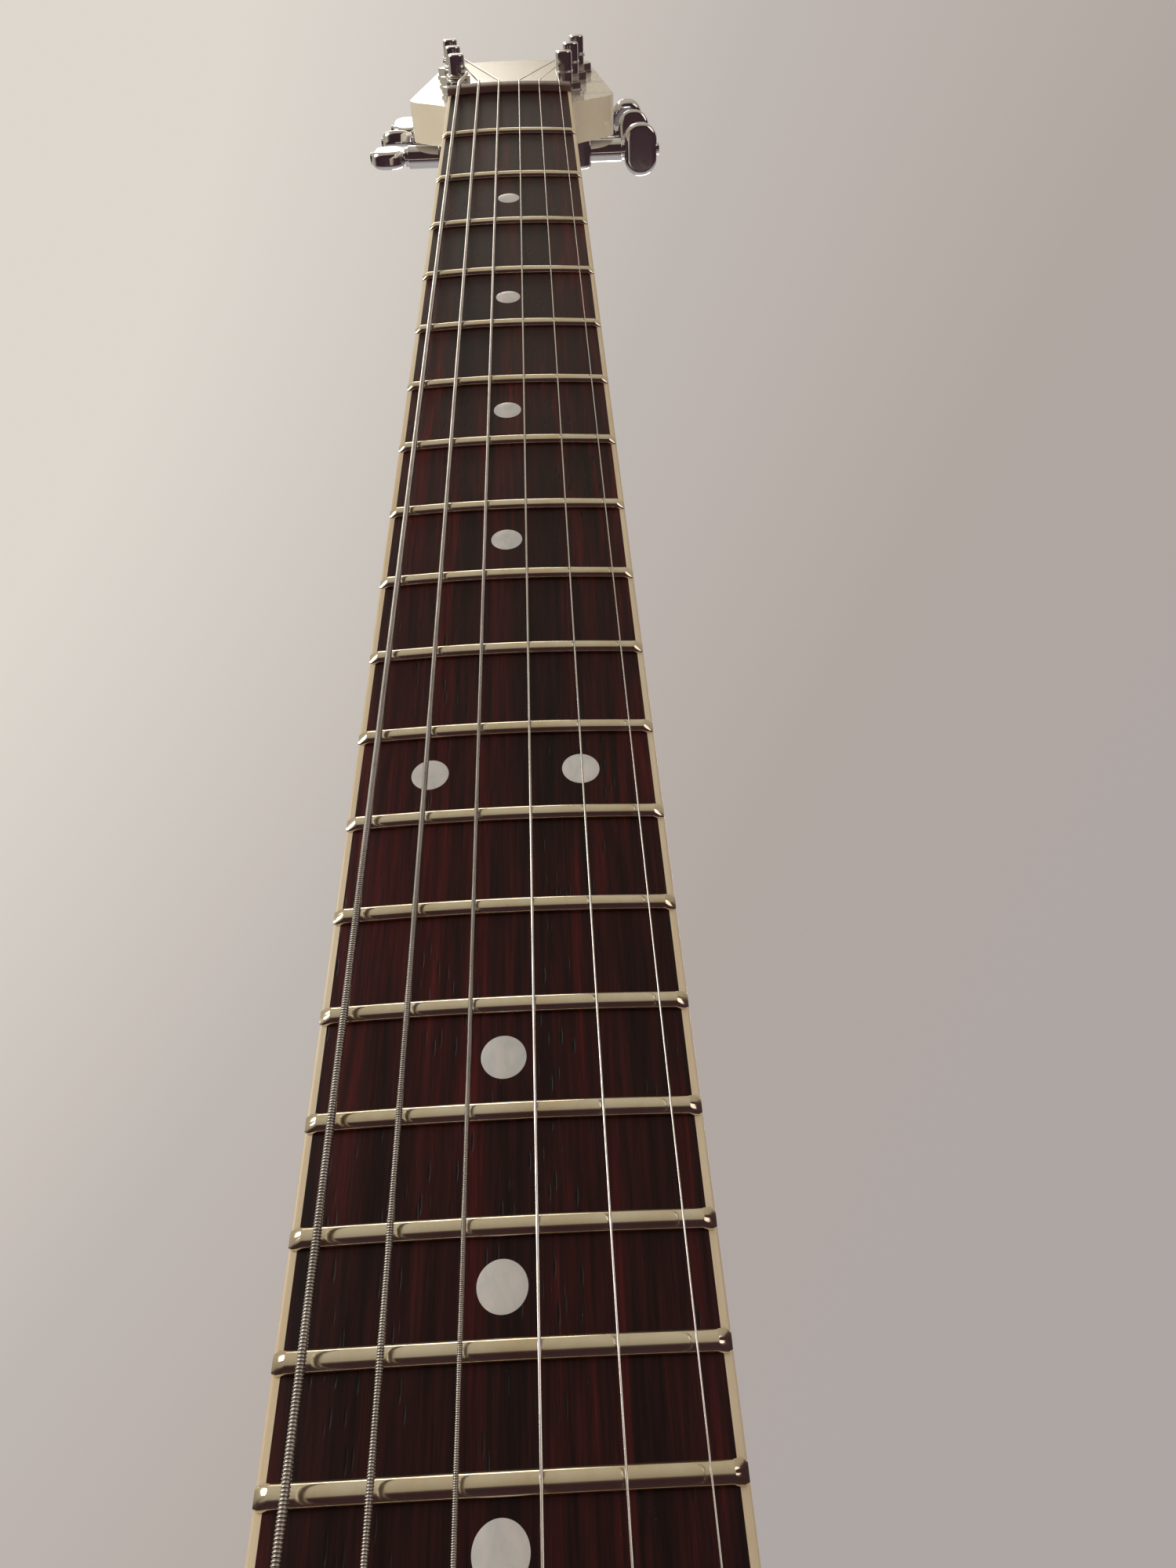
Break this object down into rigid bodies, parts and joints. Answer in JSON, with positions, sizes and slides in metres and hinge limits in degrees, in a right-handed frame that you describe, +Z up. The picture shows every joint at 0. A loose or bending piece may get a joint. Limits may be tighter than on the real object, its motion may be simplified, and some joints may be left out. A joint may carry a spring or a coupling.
{
  "type": "electric guitar",
  "caption": "Solid-body electric guitar with double cutaway, set neck, bound rosewood fretboard with round inlays, tuners on both headstock sides, wraparound bridge, pickups and knobs",
  "frame": {"origin": "between the headstock's two shoulders, level with the body's top face, where a hanger's arms carry the guitar", "axes": "+Z up the neck to the headstock's tip, -Y out of the guitar's face, +X to the treble side"},
  "size_m": [0.3298, 0.0689, 0.9354],
  "materials": {
    "cream_lacquer": "polished",
    "rosewood": "satin",
    "cream_plastic": "satin",
    "parchment_plastic": "polished",
    "fret_wire": "polished",
    "pearl": "polished",
    "black_plastic": "polished",
    "dark_nut": "satin",
    "steel": "satin",
    "brass": "satin",
    "chrome": "polished",
    "wound_string": "satin",
    "plain_string": "polished",
    "coil_wire": "satin",
    "magnet": "matte",
    "capacitor_resin": "satin",
    "felt": "matte"
  },
  "bodies": {
    "root": {"body": "cream_lacquer", "neck": "cream_lacquer", "headstock_facing": "cream_lacquer", "fretboard": "rosewood", "fretboard_binding": "cream_plastic", "frets": "fret_wire", "position_dots": "pearl", "side_dots": "black_plastic", "nut": "dark_nut", "truss_rod": "steel", "truss_rod_nut": "brass", "truss_rod_cover": "parchment_plastic", "string_low_e": "wound_string", "string_a": "wound_string", "string_d": "wound_string", "string_g": "plain_string", "string_b": "plain_string", "string_high_e": "plain_string", "tuner_housings": "chrome", "tuner_bushings": "chrome", "bridge_bar": "chrome", "bridge_studs": "chrome", "bridge_bushings": "chrome", "bridge_set_screws": "steel", "pickup_covers": "black_plastic", "pickup_coils": "coil_wire", "pickup_magnets": "magnet", "pickup_baseplates": "brass", "pickup_pole_screws": "steel", "pickup_mount_screws": "steel", "pots": "steel", "control_nuts": "chrome", "switch_body": "steel", "jack_plate": "chrome", "output_jack": "steel", "wiring": "black_plastic", "tone_capacitor": "capacitor_resin", "control_cover": "black_plastic", "small_wood_screws": "steel", "strap_buttons": "chrome", "strap_button_felts": "felt", "strap_button_screws": "steel"},
    "key_low_e": {"tuner_key_low_e": "chrome"},
    "post_low_e": {"tuner_post_low_e": "chrome"},
    "key_a": {"tuner_key_a": "chrome"},
    "post_a": {"tuner_post_a": "chrome"},
    "key_d": {"tuner_key_d": "chrome"},
    "post_d": {"tuner_post_d": "chrome"},
    "key_g": {"tuner_key_g": "chrome"},
    "post_g": {"tuner_post_g": "chrome"},
    "key_b": {"tuner_key_b": "chrome"},
    "post_b": {"tuner_post_b": "chrome"},
    "key_high_e": {"tuner_key_high_e": "chrome"},
    "post_high_e": {"tuner_post_high_e": "chrome"},
    "volume": {"volume_knob": "chrome", "volume_shaft": "brass"},
    "tone": {"tone_knob": "chrome", "tone_shaft": "brass"},
    "selector": {"switch_lever": "steel", "switch_tip": "cream_plastic"}
  },
  "joints": [
    {"name": "key_low_e_turn", "type": "hinge", "parent": "root", "child": "key_low_e", "pos_m": [-0.05, 0.01849, 0.01566], "axis": [-1, 0, 0], "continuous": true},
    {"name": "post_low_e_turn", "type": "hinge", "parent": "root", "child": "post_low_e", "pos_m": [-0.02, 0.00247, 0.02721], "axis": [0, -0.9744, 0.225], "continuous": true},
    {"name": "key_a_turn", "type": "hinge", "parent": "root", "child": "key_a", "pos_m": [-0.0535, 0.02703, 0.05268], "axis": [-1, 0, 0], "continuous": true},
    {"name": "post_a_turn", "type": "hinge", "parent": "root", "child": "post_a", "pos_m": [-0.0235, 0.01102, 0.06423], "axis": [0, -0.9744, 0.225], "continuous": true},
    {"name": "key_d_turn", "type": "hinge", "parent": "root", "child": "key_d", "pos_m": [-0.057, 0.03558, 0.08971], "axis": [-1, 0, 0], "continuous": true},
    {"name": "post_d_turn", "type": "hinge", "parent": "root", "child": "post_d", "pos_m": [-0.027, 0.01957, 0.10126], "axis": [0, -0.9744, 0.225], "continuous": true},
    {"name": "key_g_turn", "type": "hinge", "parent": "root", "child": "key_g", "pos_m": [0.057, 0.03558, 0.08971], "axis": [1, 0, 0], "continuous": true},
    {"name": "post_g_turn", "type": "hinge", "parent": "root", "child": "post_g", "pos_m": [0.027, 0.01957, 0.10126], "axis": [0, -0.9744, 0.225], "continuous": true},
    {"name": "key_b_turn", "type": "hinge", "parent": "root", "child": "key_b", "pos_m": [0.0535, 0.02703, 0.05268], "axis": [1, 0, 0], "continuous": true},
    {"name": "post_b_turn", "type": "hinge", "parent": "root", "child": "post_b", "pos_m": [0.0235, 0.01102, 0.06423], "axis": [0, -0.9744, 0.225], "continuous": true},
    {"name": "key_high_e_turn", "type": "hinge", "parent": "root", "child": "key_high_e", "pos_m": [0.05, 0.01849, 0.01566], "axis": [1, 0, 0], "continuous": true},
    {"name": "post_high_e_turn", "type": "hinge", "parent": "root", "child": "post_high_e", "pos_m": [0.02, 0.00247, 0.02721], "axis": [0, -0.9744, 0.225], "continuous": true},
    {"name": "volume_turn", "type": "hinge", "parent": "root", "child": "volume", "pos_m": [0.076, 0, -0.65], "axis": [0, -1, 0], "range_deg": [-300, 0]},
    {"name": "tone_turn", "type": "hinge", "parent": "root", "child": "tone", "pos_m": [0.1, 0, -0.691], "axis": [0, -1, 0], "range_deg": [-300, 0]},
    {"name": "selector_tilt", "type": "hinge", "parent": "root", "child": "selector", "pos_m": [0.114, -0.0005, -0.64], "axis": [1, 0, 0], "range_deg": [-12, 12]}
  ],
  "couplings": [
    {"joint": "post_low_e_turn", "follows": "key_low_e_turn", "ratio": 0.071429},
    {"joint": "post_a_turn", "follows": "key_a_turn", "ratio": 0.071429},
    {"joint": "post_d_turn", "follows": "key_d_turn", "ratio": 0.071429},
    {"joint": "post_g_turn", "follows": "key_g_turn", "ratio": 0.071429},
    {"joint": "post_b_turn", "follows": "key_b_turn", "ratio": 0.071429},
    {"joint": "post_high_e_turn", "follows": "key_high_e_turn", "ratio": 0.071429}
  ]
}
